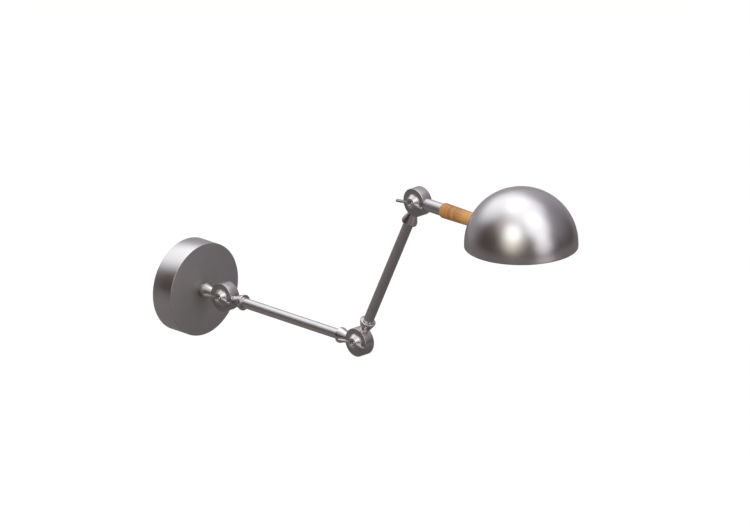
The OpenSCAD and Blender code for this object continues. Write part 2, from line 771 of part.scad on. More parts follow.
along(knuckle_3, shade_arm_angle) shade_knuckle();
to_nut_side(knuckle_3) face_washer();  // knuckle_3_face_washer
along(knuckle_3, shade_arm_angle) shade_rod();
along(knuckle_3, shade_arm_angle) handle_nipple();
along(knuckle_3, shade_arm_angle) wood_handle();
along(knuckle_3, shade_arm_angle) shade_wires();
along(knuckle_3, shade_arm_angle) shade();
along(knuckle_3, shade_arm_angle) saddle_washer();
along(knuckle_3, shade_arm_angle) shade_nut();
along(knuckle_3, shade_arm_angle) holder_cap();
along(knuckle_3, shade_arm_angle) holder_body();
along(knuckle_3, shade_arm_angle) holder_screw_shell();
along(knuckle_3, shade_arm_angle) holder_contact();
along(knuckle_3, shade_arm_angle) lamp_cap();
along(knuckle_3, shade_arm_angle) lamp_glass();

to_nut_side(knuckle_1) wing_nut();  // wing_nut_1
to_nut_side(knuckle_2) wing_nut();  // wing_nut_2
to_nut_side(knuckle_3) wing_nut();  // wing_nut_3
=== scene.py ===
import json
import math
import bpy
from mathutils import Matrix, Vector


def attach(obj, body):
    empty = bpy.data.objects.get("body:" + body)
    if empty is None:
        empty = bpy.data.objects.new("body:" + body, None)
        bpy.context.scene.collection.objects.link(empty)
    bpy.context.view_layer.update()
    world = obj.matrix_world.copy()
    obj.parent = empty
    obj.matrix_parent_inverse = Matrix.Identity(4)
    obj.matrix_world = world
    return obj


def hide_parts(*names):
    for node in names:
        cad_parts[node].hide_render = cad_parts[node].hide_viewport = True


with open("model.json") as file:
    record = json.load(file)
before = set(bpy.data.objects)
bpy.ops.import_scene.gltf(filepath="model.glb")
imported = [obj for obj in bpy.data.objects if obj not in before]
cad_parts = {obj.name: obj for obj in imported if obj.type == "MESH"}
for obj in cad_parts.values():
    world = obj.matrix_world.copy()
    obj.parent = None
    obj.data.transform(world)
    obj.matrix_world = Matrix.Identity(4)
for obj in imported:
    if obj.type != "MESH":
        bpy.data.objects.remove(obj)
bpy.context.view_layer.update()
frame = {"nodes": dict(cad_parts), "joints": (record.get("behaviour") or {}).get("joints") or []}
bpy.ops.object.select_all(action="DESELECT")


# Camera: the photograph looks at the lamp from its front left and a little above, from so
# far off that its perspective is slight. This camera has none.
view_azimuth = math.radians(-44.75)
view_elevation = math.radians(19.3)
to_viewer = Vector((
    math.sin(view_azimuth) * math.cos(view_elevation),
    -math.cos(view_azimuth) * math.cos(view_elevation),
    math.sin(view_elevation),
))
view_right = Vector((math.cos(view_azimuth), math.sin(view_azimuth), 0))
view_up = to_viewer.cross(view_right)
aim = 0.2506 * view_right + 0.0266 * view_up
bpy.ops.object.camera_add(
    location=aim + 3 * to_viewer,
    rotation=to_viewer.to_track_quat("Z", "Y").to_euler(),
)
camera = bpy.context.object
camera.data.type = "ORTHO"
camera.data.ortho_scale = 0.9975
bpy.context.scene.camera = camera
bpy.context.scene.view_settings.view_transform = "Standard"


# Studio: a dim room with soft round lights overhead, in front, near the camera and behind the
# lamp, for the metal to mirror. A wide soft fill from the camera's side lights the wood.
class Socket:
    """A node's output. Arithmetic on it adds Math nodes to its tree."""

    def __init__(self, tree, out=None):
        self.tree = tree
        self.out = out

    def node(self, kind, settings, inputs, output=0):
        """Adds any node: its settings first, then the values or links of its sockets."""
        made = self.tree.nodes.new(kind)
        for name, value in settings.items():
            if name != "stops":
                setattr(made, name, value)
                continue
            ends = made.color_ramp.elements
            for (at, colour), stop in zip((value[0], value[-1]), (ends[0], ends[1])):
                stop.position = at
                stop.color = (*colour, 1)
            for at, colour in value[1:-1]:
                ends.new(at).color = (*colour, 1)
        for name, value in inputs.items():
            if isinstance(value, Socket):
                self.tree.links.new(value.out, made.inputs[name])
            else:
                made.inputs[name].default_value = value
        return Socket(self.tree, made.outputs[output] if len(made.outputs) else None)

    def maths(self, operation, first, second=0.0):
        return self.node("ShaderNodeMath", {"operation": operation}, {0: first, 1: second})

    def __add__(self, other):
        return self.maths("ADD", self, other)

    def __sub__(self, other):
        return self.maths("SUBTRACT", self, other)

    def __rsub__(self, other):
        return self.maths("SUBTRACT", other, self)

    def __mul__(self, other):
        return self.maths("MULTIPLY", self, other)

    def __truediv__(self, other):
        return self.maths("DIVIDE", self, other)


def unit_vector(azimuth, elevation):
    """Azimuth 0 points straight out from the wall and 90 to the lamp's right, in degrees."""
    a, e = math.radians(azimuth), math.radians(elevation)
    return (math.sin(a) * math.cos(e), -math.cos(a) * math.cos(e), math.sin(e))


room_level = (0.062, 0.047, 0.044)
soft_lights = [
    # azimuth, elevation, full out to, faded out at, strength, colour
    (68, 81, 7, 39, 1.28, (0.94, 1.0, 1.03)),
    (2, 46, 7, 33, 1.48, (0.94, 1.0, 1.02)),
    (2, 10, 5, 24, 1.19, (0.98, 1.0, 1.05)),
    (-63, 38, 6, 22, 0.75, (0.9, 1.0, 1.04)),
    (-66, 37, 9, 26, 0.87, (0.96, 1.0, 1.02)),
    (-63, 20, 1, 32, 0.67, (1.06, 1.0, 0.85)),
    (-64, 10, 0, 12, 0.38, (0.98, 1.0, 1.1)),
    (180, 52, 6, 43, 1.19, (0.94, 1.0, 1.03)),
    (153, 6, 26, 74, 0.32, (0.99, 1.0, 1.08)),
    (-99, 48, 2, 22, 0.37, (1.1, 1.0, 0.95)),
    (57, 61, 14, 74, 0.23, (0.98, 1.0, 1.15)),
    (-74, 61, 3, 25, 0.51, (0.95, 1.0, 0.96)),
]
world = bpy.data.worlds.new("studio")
bpy.context.scene.world = world
world.use_nodes = True
world.node_tree.nodes.clear()
sky = Socket(world.node_tree)
direction = sky.node("ShaderNodeTexCoord", {}, {}, "Generated")
light = room_level
for azimuth, elevation, full, faded, strength, colour in soft_lights:
    facing = sky.node(
        "ShaderNodeVectorMath",
        {"operation": "DOT_PRODUCT"},
        {0: direction, 1: unit_vector(azimuth, elevation)},
        "Value",
    )
    level = sky.node("ShaderNodeMapRange", {"interpolation_type": "SMOOTHSTEP"}, {
        "Value": facing,
        "From Min": math.cos(math.radians(faded)),
        "From Max": math.cos(math.radians(full)),
        "To Max": strength,
    })
    light = sky.node(
        "ShaderNodeVectorMath", {"operation": "MULTIPLY_ADD"}, {0: level, 1: colour, 2: light}
    )
seen = sky.node("ShaderNodeLightPath", {}, {}, "Is Camera Ray")
through_glass = sky.node("ShaderNodeLightPath", {}, {}, "Is Transmission Ray")
backdrop = sky.node("ShaderNodeBackground", {}, {"Color": (1, 1, 1, 1)})
studio = sky.node("ShaderNodeBackground", {}, {"Color": light})
shown = sky.node("ShaderNodeMixShader", {}, {0: seen + through_glass, 1: studio, 2: backdrop})
sky.node("ShaderNodeOutputWorld", {}, {"Surface": shown})

fill_from = Vector(unit_vector(-52, 12))
bpy.ops.object.light_add(type="SUN", rotation=fill_from.to_track_quat("Z", "Y").to_euler())
fill = bpy.context.object
fill.name = "front_fill"
fill.data.energy = 2.6
fill.data.angle = math.radians(50)
fill.visible_glossy = False


# Floor: a pale floor well below the lamp, which looks white to the camera. In the metal it is
# dim like the room, with painted light on it that only reflections see: a glow in front, a faint
# one behind the wall and a little further out.
floor_height = -0.9
bpy.ops.mesh.primitive_plane_add(size=12, location=(0, 0, floor_height))
floor = bpy.context.object
floor.name = "floor"
floor_paint = bpy.data.materials.new("pale_floor")
floor_paint.use_nodes = True
floor_paint.node_tree.nodes.clear()
paint = Socket(floor_paint.node_tree)
seen = paint.node("ShaderNodeLightPath", {}, {}, "Is Camera Ray")
mirrored = paint.node("ShaderNodeLightPath", {}, {}, "Is Glossy Ray")
matt = paint.node("ShaderNodeBsdfDiffuse", {}, {"Color": (0.105, 0.096, 0.095, 1)})
place = paint.node("ShaderNodeTexCoord", {}, {}, "Object")


def shine(centre, faded, full, strength):
    """Painted light on the floor, a glow that changes softly between two distances from a point, in
    metres.
    """
    away = paint.node(
        "ShaderNodeVectorMath", {"operation": "DISTANCE"}, {0: place, 1: (*centre, 0)}, "Value"
    )
    return paint.node("ShaderNodeMapRange", {"interpolation_type": "SMOOTHSTEP"}, {
        "Value": away, "From Min": faded, "From Max": full, "To Max": strength,
    })


# Painted light: glows on the floor, seen only in the metal's reflections.
painted_glow_far = shine((0, 0), 0.3, 3.2, 0.08)
painted_glow_in_front = shine((0.3, -3.9), 1.7, 0.5, 0.7)
painted_glow_behind_wall = shine((-0.3, 1.3), 2.2, 0.5, 0.09)
warmth = paint.node("ShaderNodeMix", {"data_type": "RGBA"}, {
    "Factor": seen, 6: (1.0, 0.9, 0.9, 1), 7: (1, 1, 1, 1),
}, 2)
glow = paint.node("ShaderNodeEmission", {}, {
    "Color": warmth, "Strength": seen * 0.9 + mirrored * (painted_glow_far + painted_glow_in_front + painted_glow_behind_wall),
})
both = paint.node("ShaderNodeAddShader", {}, {0: matt, 1: glow})
paint.node("ShaderNodeOutputMaterial", {}, {"Surface": both})
floor.data.materials.append(floor_paint)


# Wall plate: a cup spun from sheet steel, plated a satin pewter grey. Its rim meets the wall,
# and the tight edge round its flat front is as the spinning tool left it.
MM = 0.001


def turned(name, outline, solid=False, around=128):
    """A piece turned about Z. The outline gives radius and height of its rings, in millimetres;
    it is closed on itself, or starts and ends in a flat if the piece is solid."""
    radius, height = outline[0]
    bpy.ops.object.select_all(action="DESELECT")
    bpy.ops.mesh.primitive_circle_add(
        vertices=around,
        radius=radius * MM,
        location=(0, 0, height * MM),
        fill_type="NGON" if solid else "NOTHING",
    )
    piece = bpy.context.object
    piece.name = name
    bpy.ops.object.transform_apply()
    bpy.ops.object.mode_set(mode="EDIT")
    for next_radius, next_height in outline[1:]:
        bpy.ops.mesh.extrude_region_move(
            TRANSFORM_OT_translate={"value": (0, 0, (next_height - height) * MM)}
        )
        growth = next_radius / radius
        bpy.ops.transform.resize(value=(growth, growth, 1))
        radius, height = next_radius, next_height
    bpy.ops.mesh.select_all(action="SELECT")
    bpy.ops.mesh.remove_doubles(threshold=0.0005 * MM)
    bpy.ops.mesh.normals_make_consistent(inside=False)
    bpy.ops.object.mode_set(mode="OBJECT")
    return piece


def arc(radius, height, r, start, end, steps):
    """Points of an outline along an arc, its angles in degrees from straight outwards."""
    return [
        (
            radius + r * math.cos(math.radians(start + (end - start) * i / steps)),
            height + r * math.sin(math.radians(start + (end - start) * i / steps)),
        )
        for i in range(steps + 1)
    ]


def apply_modifier(piece, kind, **settings):
    bpy.context.view_layer.objects.active = piece
    modifier = piece.modifiers.new(kind.lower(), kind)
    for setting, value in settings.items():
        setattr(modifier, setting, value)
    bpy.ops.object.modifier_apply(modifier=modifier.name)


def set_in_place(piece, place):
    """Moves a finished piece to its place, smooths its faces and keeps its creases."""
    bpy.ops.object.select_all(action="DESELECT")
    piece.select_set(True)
    bpy.context.view_layer.objects.active = piece
    piece.matrix_world = place
    bpy.ops.object.transform_apply()
    bpy.ops.object.shade_smooth_by_angle(angle=math.radians(35))


def material_like(name, place):
    """A new material, its shader, and the pattern's coordinates in the piece's own axes."""
    finish = bpy.data.materials.new(name)
    finish.use_nodes = True
    nodes = finish.node_tree.nodes
    nodes.clear()
    tree = Socket(finish.node_tree)
    undo = place.inverted()
    coordinates = tree.node("ShaderNodeTexCoord", {}, {}, "Object")
    own = tree.node("ShaderNodeMapping", {}, {
        "Vector": coordinates,
        "Location": undo.to_translation(),
        "Rotation": undo.to_euler(),
    })
    return finish, tree, own


def satin_steel(name, place, lines="round", roughness=0.24, dull_and_painted_shade_from=None):
    """Plated steel with fine tool lines round its axis, or along it on a drawn tube. A flat that
    faces along the axis, from a height in millimetres, can be rougher than the rest and darker
    in colour, the darkening being painted shade."""
    finish, tree, own = material_like(name, place)
    x, y, z = (tree.node("ShaderNodeSeparateXYZ", {}, {0: own}, axis) for axis in "XYZ")
    if lines == "round":
        out = tree.maths("SQRT", x * x + y * y)
        grain = tree.node("ShaderNodeCombineXYZ", {}, {"X": out, "Z": z})
    else:
        grain = tree.node("ShaderNodeCombineXYZ", {}, {"X": x, "Y": y, "Z": z * 0.02})
    fine = tree.node("ShaderNodeTexNoise", {}, {"Vector": grain, "Scale": 2600, "Detail": 3}, 0)
    cloud = tree.node("ShaderNodeTexNoise", {}, {"Vector": own, "Scale": 70, "Detail": 4}, 0)
    bump = tree.node("ShaderNodeBump", {}, {"Strength": 0.15, "Distance": 0.00003, "Height": fine})
    tone = tree.node("ShaderNodeMix", {"data_type": "RGBA"}, {
        "Factor": cloud,
        6: (0.60, 0.565, 0.56, 1),
        7: (0.68, 0.645, 0.64, 1),
    }, 2)
    polish = cloud * 0.04 + fine * 0.04 + (roughness - 0.04)
    if dull_and_painted_shade_from is not None:
        # Painted shade: flats facing along the axis get a darker colour as well as a rougher finish.
        flat = tree.maths("GREATER_THAN", tree.maths("ABSOLUTE", z), dull_and_painted_shade_from * MM)
        polish = polish + flat * 0.25
        tone = tree.node("ShaderNodeVectorMath", {"operation": "SCALE"}, {
            0: tone, "Scale": 1 - flat * 0.24,
        })
    shader = tree.node("ShaderNodeBsdfPrincipled", {}, {
        "Base Color": tone,
        "Metallic": 1.0,
        "Roughness": polish,
        "Normal": bump,
    })
    tree.node("ShaderNodeOutputMaterial", {}, {"Surface": shader})
    return finish


def fit(piece, material, body, slot, *nodes):
    """Gives a piece its finish and its body, in place of the CAD nodes it stands for."""
    piece.data.materials.clear()
    piece.data.materials.append(material)
    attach(piece, body)
    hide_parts(*nodes)


def repaint(material, *names):
    """Gives CAD nodes that stay in the scene their finish."""
    for name in names:
        node = frame["nodes"][name]
        node.data.materials.clear()
        node.data.materials.append(material)


out_from_wall = Matrix(((1, 0, 0, 0), (0, 0, -1, 0), (0, 1, 0, 0), (0, 0, 0, 1)))
plate_radius = 63.49
plate_depth = 33.6
plate_sheet = 1.2
plate_edge = 0.6
rim_round = 0.3
tube_thread = 4.0
snug = 0.03
wall_plate = turned("wall_plate_spun", [
    (plate_radius - plate_sheet, 0),
    (plate_radius - rim_round, 0),
    *arc(plate_radius - rim_round, rim_round, rim_round, -90, 0, 3),
    *arc(plate_radius - plate_edge, plate_depth - plate_edge, plate_edge, 0, 90, 6),
    (40, plate_depth),
    (14, plate_depth),
    (tube_thread + snug, plate_depth),
    (tube_thread + snug, plate_depth - plate_sheet),
    (plate_radius - plate_sheet - 0.8, plate_depth - plate_sheet),
    (plate_radius - plate_sheet, plate_depth - plate_sheet - 0.8),
    (plate_radius - plate_sheet, 0),
], around=192)
set_in_place(wall_plate, out_from_wall)
# The plate's flat front is rougher and painted darker than its rim, as painted shade.
plate_steel = satin_steel("spun_steel", out_from_wall, roughness=0.3, dull_and_painted_shade_from=plate_depth - 0.2)
fit(wall_plate, plate_steel, "wall", "satin_steel", "wall_plate")


# Mounting strap: a bent strip of zinc-plated steel that screws to the box in the wall, with the
# green screw for the earth wire. The zinc shows its pale, cloudy crystals.
def cloudy(name, dark, pale, scale, roughness, metallic=0.0, coat=0.0):
    """A cast, moulded or plated finish: a cloudy tone over a finer grain that roughens it."""
    finish, tree, own = material_like(name, Matrix())
    cloud = tree.node("ShaderNodeTexNoise", {}, {"Vector": own, "Scale": scale, "Detail": 5}, 0)
    grain = tree.node("ShaderNodeTexNoise", {}, {"Vector": own, "Scale": scale * 9, "Detail": 2}, 0)
    tone = tree.node("ShaderNodeMix", {"data_type": "RGBA"}, {
        "Factor": cloud * 0.7 + grain * 0.3,
        6: (*dark, 1),
        7: (*pale, 1),
    }, 2)
    bump = tree.node("ShaderNodeBump", {}, {"Strength": 0.3, "Distance": 0.00004, "Height": grain})
    shader = tree.node("ShaderNodeBsdfPrincipled", {}, {
        "Base Color": tone,
        "Metallic": metallic,
        "Roughness": grain * 0.12 + cloud * 0.1 + (roughness - 0.11),
        "Normal": bump,
        "Coat Weight": coat,
        "Coat Roughness": 0.15,
    })
    tree.node("ShaderNodeOutputMaterial", {}, {"Surface": shader})
    return finish


zinc = cloudy("zinc_plate", (0.5, 0.51, 0.5), (0.74, 0.73, 0.69), 140, 0.38, metallic=1.0)
green_zinc = cloudy("green_zinc", (0.05, 0.24, 0.09), (0.14, 0.42, 0.18), 300, 0.35, metallic=0.7)
repaint(zinc, "mounting_strap")
repaint(green_zinc, "ground_screw")


# Threaded wall tube: a hollow steel tube that holds strap, plate and stub together, with a
# hexagon nut of turned brass behind the strap.
thread_depth = 0.35


def threaded_tube(name, bore, start, end):
    """A hollow tube whose outside thread is modelled as fine rings."""
    turns = round(end - start)
    thread = []
    for i in range(turns):
        at = start + (end - start) * i / turns
        thread += [(tube_thread - thread_depth, at + 0.05), (tube_thread, at + 0.5)]
    ends = [(tube_thread - thread_depth, end), (bore, end), (bore, start)]
    return turned(name, [(bore, start), *thread, *ends], around=64)


def cut_or_join(piece, other, operation):
    """A boolean with another piece, which is used up."""
    apply_modifier(piece, "BOOLEAN", object=other, operation=operation, solver="EXACT")
    bpy.data.objects.remove(other)


def hexagon_nut(name, start, end):
    """A nut with its corners chamfered at both faces."""
    half_flats = 6.5
    corner = half_flats / math.cos(math.radians(30))
    nut = turned(name, [(corner, start), (corner, end)], solid=True, around=6)
    chamfer = turned("chamfer", [
        (half_flats, start),
        (corner + 0.01, start + 0.6),
        (corner + 0.01, end - 0.6),
        (half_flats, end),
    ], solid=True)
    cut_or_join(nut, chamfer, "INTERSECT")
    bore_radius = tube_thread + snug
    bore = turned("bore", [(bore_radius, start - 1), (bore_radius, end + 1)], solid=True)
    cut_or_join(nut, bore, "DIFFERENCE")
    return nut


tube_bore = 2.9
nut_height = 3.5
strap_back = 9.0
stub_grip = 13.0
tube_zinc = cloudy("tube_zinc", (0.45, 0.45, 0.44), (0.7, 0.69, 0.66), 200, 0.36, metallic=1.0)
brass = cloudy("turned_brass", (0.62, 0.43, 0.17), (0.83, 0.66, 0.34), 90, 0.3, metallic=1.0)
wall_tube = threaded_tube(
    "wall_tube_threaded", tube_bore, strap_back - nut_height - 1, plate_depth + stub_grip
)
set_in_place(wall_tube, out_from_wall)
fit(wall_tube, tube_zinc, "wall", "zinc_steel", "wall_nipple")
strap_nut = hexagon_nut("strap_nut_brass", strap_back - nut_height, strap_back)
set_in_place(strap_nut, out_from_wall)
fit(strap_nut, brass, "wall", "brass", "strap_nut")


# Feed wires: two insulated wires from the wall tube round the strap's edges, their bare ends
# twisted into orange plastic connectors with moulded ribs.
insulation = cloudy("wire_insulation", (0.02, 0.02, 0.022), (0.05, 0.05, 0.055), 500, 0.4)
repaint(insulation, "feed_wires")
connector_base = 7.3
connector_lift = 18.0
connector_side = 1.3
connector_plastic = cloudy("connector_plastic", (0.6, 0.17, 0.03), (0.82, 0.29, 0.07), 350, 0.42)


def ribbed(piece, inner, outer, first, last, ribs):
    """Cuts straight grooves into a turned piece, between two heights, so that ribs are left."""
    for i in range(ribs):
        angle = 2 * math.pi * i / ribs
        middle = (inner + outer) / 2
        bpy.ops.object.select_all(action="DESELECT")
        bpy.ops.mesh.primitive_cylinder_add(
            vertices=12,
            radius=0.42 * MM,
            depth=(last - first) * MM,
            location=(
                middle * math.cos(angle) * MM,
                middle * math.sin(angle) * MM,
                (first + last) / 2 * MM,
            ),
            rotation=(0, math.atan2(inner - outer, last - first), angle),
        )
        groove = bpy.context.object
        bpy.ops.object.transform_apply()
        cut_or_join(piece, groove, "DIFFERENCE")


for lower_or_upper, side in [("lower", -1), ("upper", 1)]:
    connector = turned(f"{lower_or_upper}_connector_moulded", [
        (0.98, 0),
        (4.2, 0),
        (4.5, 0.3),
        (4.5, 3.4),
        (4.0, 4.1),
        (2.9, 16.2),
        (2.5, 17),
        (0.4, 17),
    ], solid=True, around=64)
    mouth = turned("mouth", [(1.0, -1), (1.0, 3)], solid=True, around=32)
    cut_or_join(connector, mouth, "DIFFERENCE")
    ribbed(connector, 4.25, 3.1, 5.0, 15.5, 10)
    connector_place = Matrix.Translation((
        connector_side * MM, -connector_base * MM, connector_lift * side * MM,
    )) @ out_from_wall
    set_in_place(connector, connector_place)
    nodes = ["wire_connectors"] if side > 0 else []
    fit(connector, connector_plastic, "wall", "connector_plastic", *nodes)


# Wall collar and arm collars: turned from bar, each a cone that widens to a narrow rim, with
# a lip behind the rim that lies on the arm's tube or, at the wall, on the plate.
joint_at = {joint["name"]: Vector(joint["pos_m"]) for joint in frame["joints"]}
knuckle_1 = joint_at["knuckle_1"]
knuckle_2 = joint_at["knuckle_2"]
knuckle_3 = joint_at["knuckle_3"]


def along(knuckle, angle):
    """Puts +Z at a knuckle's axis, pointing away from the wall and up by the angle."""
    return Matrix.Translation(knuckle) @ Matrix.Rotation(math.radians(90 - angle), 4, "X")


def far_end(length):
    """Turns a piece drawn at one end of an arm round to its other end."""
    return Matrix.Translation((0, 0, length * MM)) @ Matrix.Rotation(math.pi, 4, "X")


arm_2_angle = math.degrees(math.atan2(knuckle_3.z - knuckle_2.z, knuckle_2.y - knuckle_3.y))
stub_length = -knuckle_1.y / MM - plate_depth
neck_radius = 5.6
tube_radius = 6.9
tube_start = 36.4
collar_start = 21.0
flare_end = 34.1
rim_radius = 10.7
rim_end = 36.3
lip_radius = 8.4
lip_length = 2.0
collar_edge = 0.3
wall_collar_base = 3.8


def collar_outline(end):
    """A collar's outside, from the cone's thin end over the rim to the end of the lip."""
    cone_start = neck_radius + 0.4
    widening = (rim_radius - cone_start) / (flare_end - collar_start)
    return [
        (neck_radius + 2 * snug, collar_start + 0.1),
        (cone_start, collar_start),
        (cone_start + 0.3 * widening, collar_start + 0.3),
        (rim_radius - 0.4 * widening, flare_end - 0.4),
        (rim_radius - 0.03, flare_end),
        (rim_radius, flare_end + 0.2),
        *arc(rim_radius - collar_edge, rim_end - collar_edge, collar_edge, 0, 90, 4),
        (lip_radius + 0.2, rim_end),
        (lip_radius, rim_end + 0.1),
        *arc(lip_radius - collar_edge, end - collar_edge, collar_edge, 0, 90, 4),
    ]


wall_collar = turned("wall_collar_turned", [
    *collar_outline(stub_length),
    (tube_thread + snug, stub_length),
    (tube_thread + snug, stub_length - wall_collar_base),
    (neck_radius + 2 * snug, stub_length - wall_collar_base),
    (neck_radius + 2 * snug, collar_start + 0.1),
])
stub_place = along(knuckle_1, 180)
set_in_place(wall_collar, stub_place)
wall_collar_steel = satin_steel("collar_steel_wall", stub_place)
fit(wall_collar, wall_collar_steel, "wall", "satin_steel", "wall_collar")

arms = [
    ("arm_1", along(knuckle_1, 0), (knuckle_2 - knuckle_1).length / MM),
    ("arm_2", along(knuckle_2, arm_2_angle), (knuckle_3 - knuckle_2).length / MM),
]
for arm, place, length in arms:
    for end, turn in [("inner", Matrix()), ("outer", far_end(length))]:
        collar = turned(f"{arm}_{end}_collar_turned", [
            *collar_outline(rim_end + lip_length),
            (tube_radius + snug, rim_end + lip_length),
            (tube_radius + snug, tube_start),
            (neck_radius + 2 * snug, tube_start),
            (neck_radius + 2 * snug, collar_start + 0.1),
        ])
        set_in_place(collar, place @ turn)
        finish = satin_steel(f"collar_steel_{arm}_{end}", place @ turn, roughness=0.2)
        fit(collar, finish, arm, "satin_steel", f"{arm}_{end}_collar")


# Arm tubes: drawn steel tube, pushed over the knuckle necks and covered by the collars' ends.
# The finish has faint lines along the tube from drawing and polishing.
for arm, place, length in arms:
    tube_end = length - tube_start
    tube = turned(f"{arm}_tube_drawn", [
        (neck_radius + snug, tube_start),
        (tube_radius, tube_start),
        (tube_radius, length / 2),
        (tube_radius, tube_end),
        (neck_radius + snug, tube_end),
        (neck_radius + snug, tube_start),
    ], around=96)
    set_in_place(tube, place)
    tube_steel = satin_steel(f"tube_steel_{arm}", place, "along", roughness=0.39)
    fit(tube, tube_steel, arm, "satin_steel", f"{arm}_tube")


# Knuckle halves: flat steel drums with a round neck, turned and lapped face to face on the
# parting line. The rear half is on the lamp's right; the front half carries the wing nut.
drum_radius = 19.5
drum_half = 7.9
drum_bevel = 0.5
lap = 0.1
neck_relief = 0.5
neck_start = 4.0


def knuckle_half(name, side, radius, neck_end):
    """A drum on the given side of the parting line, +1 for the rear, and its neck along +Z."""
    across = Matrix.Rotation(math.radians(90 * side), 4, "Y")
    neck = turned(name, [
        (radius - 0.5, neck_end),
        (radius, neck_end - 0.5),
        (radius, neck_start),
        (2, neck_start),
    ], solid=True, around=96)
    reach = drum_radius + neck_relief
    relief = turned("relief", [(reach, -20), (reach, lap / 2)], solid=True)
    set_in_place(relief, across)
    cut_or_join(neck, relief, "DIFFERENCE")
    drum = turned("drum", [
        (drum_radius, lap),
        (drum_radius, drum_half - drum_bevel),
        *arc(drum_radius - drum_bevel, drum_half - drum_bevel, drum_bevel, 15, 90, 4),
    ], solid=True, around=160)
    set_in_place(drum, across)
    cut_or_join(neck, drum, "UNION")
    return neck


arm_neck_end = 48.4
stub_neck_end = stub_length - wall_collar_base - 0.2
spigot_radius = 6.0
spigot_end = 36.0
shade_place = along(knuckle_3, 0)
halves = [
    # name, body, side, knuckle, neck radius, neck end, place
    ("stub_knuckle", "stub", 1, knuckle_1, neck_radius, stub_neck_end, stub_place),
    ("shade_knuckle", "shade_arm", -1, knuckle_3, spigot_radius, spigot_end, shade_place),
]
for (arm, place, length), inner, outer in zip(arms, (knuckle_1, knuckle_2), (knuckle_2, knuckle_3)):
    turn = place @ far_end(length)
    halves += [
        (f"{arm}_inner_knuckle", arm, -1, inner, neck_radius, arm_neck_end, place),
        (f"{arm}_outer_knuckle", arm, 1, outer, neck_radius, arm_neck_end, turn),
    ]
for node, body, side, knuckle, radius, neck_end, place in halves:
    half = knuckle_half(f"{node}_turned", side, radius, neck_end)
    set_in_place(half, place)
    drum_axis = Matrix.Translation(knuckle) @ Matrix.Rotation(math.radians(90), 4, "Y")
    # Painted shade: each drum's flat faces are painted darker than its sides, as well as rougher.
    half_steel = satin_steel(f"{node}_steel", drum_axis, roughness=0.28, dull_and_painted_shade_from=drum_half - 0.1)
    fit(half, half_steel, body, "satin_steel", node)


# Knuckle bolts: steel bolts with a low domed head behind, their rounded ends standing in the
# sunk holes of the wing nuts. A thin plain washer lies under each nut, a fibre one in the joint.
bolt_radius = 3.0
head_radius = 7.5
head_height = 3.4
washer_radius = 12.0
washer_sheet = 0.6
nut_gap = 0.2
hub_height = 5.6
tip_round = 3.19
tip_below_hub = 1.0
washer_face = drum_half + washer_sheet
nut_base = washer_face + nut_gap
hub_face = nut_base + hub_height
head_dome = (head_radius ** 2 + (head_height - 1) ** 2) / (2 * (head_height - 1))
dome_angle = math.degrees(math.asin(head_radius / head_dome))
bolt_outline = [
    *arc(0, head_dome - drum_half - head_height, head_dome, -89, -90 + dome_angle, 12),
    (head_radius, -drum_half - 0.9),
    (head_radius - 0.1, -drum_half),
    (bolt_radius, -drum_half),
    *arc(0, hub_face - tip_below_hub - tip_round, tip_round, 20, 89, 10),
]
knuckles = [
    (1, knuckle_1, "stub", "arm_1"),
    (2, knuckle_2, "arm_1", "arm_2"),
    (3, knuckle_3, "arm_2", "shade_arm"),
]
fibre = cloudy("pressed_fibre", (0.06, 0.045, 0.035), (0.15, 0.11, 0.085), 400, 0.7)
for number, knuckle, rear_body, front_body in knuckles:
    nut_side = Matrix.Translation(knuckle) @ Matrix.Rotation(math.radians(-90), 4, "Y")
    bolt = turned(f"knuckle_{number}_bolt_turned", bolt_outline, solid=True, around=96)
    set_in_place(bolt, nut_side)
    finish = satin_steel(f"bolt_steel_{number}", nut_side, roughness=0.18)
    fit(bolt, finish, rear_body, "satin_steel", f"knuckle_{number}_bolt")
    washer = turned(f"knuckle_{number}_washer_turned", [
        (bolt_radius + 2 * snug, drum_half),
        (washer_radius, drum_half),
        (washer_radius, washer_face - 0.2),
        (washer_radius - 0.2, washer_face),
        (bolt_radius + 2 * snug, washer_face),
        (bolt_radius + 2 * snug, drum_half),
    ])
    set_in_place(washer, nut_side)
    finish = satin_steel(f"washer_steel_{number}", nut_side)
    fit(washer, finish, front_body, "satin_steel", f"knuckle_{number}_face_washer")
    repaint(fibre, f"knuckle_{number}_friction_washer")


# Wing nuts: cast steel, soft-edged, with a coned hub and two wings that rise past its face. Each
# turns on its bolt to clamp a knuckle.
nut_bore = 3.3
hub_outline = [
    (nut_bore, nut_base),
    (11.3, nut_base),
    (11.6, nut_base + 0.2),
    (11.6, nut_base + 0.45),
    (11.2, nut_base + 0.6),
    (7.4, nut_base + 5.3),
    (7.0, hub_face),
    (4.8, hub_face),
    (4.5, hub_face - 0.25),
    (4.4, hub_face - 2.3),
    (4.1, hub_face - 2.6),
    (nut_bore, hub_face - 2.6),
    (nut_bore, nut_base),
]
wing_thickness = 3.0
wing_sections = [
    # distance from the bolt's axis, middle height over the base, height
    (5.6, 3.2, 3.6),
    (9.5, 3.6, 4.6),
    (13.5, 4.5, 5.2),
    (17.5, 5.8, 5.5),
    (20.0, 6.7, 5.6),
    (21.8, 7.2, 5.4),
    (23.2, 7.3, 4.6),
    (24.1, 7.3, 2.9),
    (24.45, 7.3, 1.3),
]


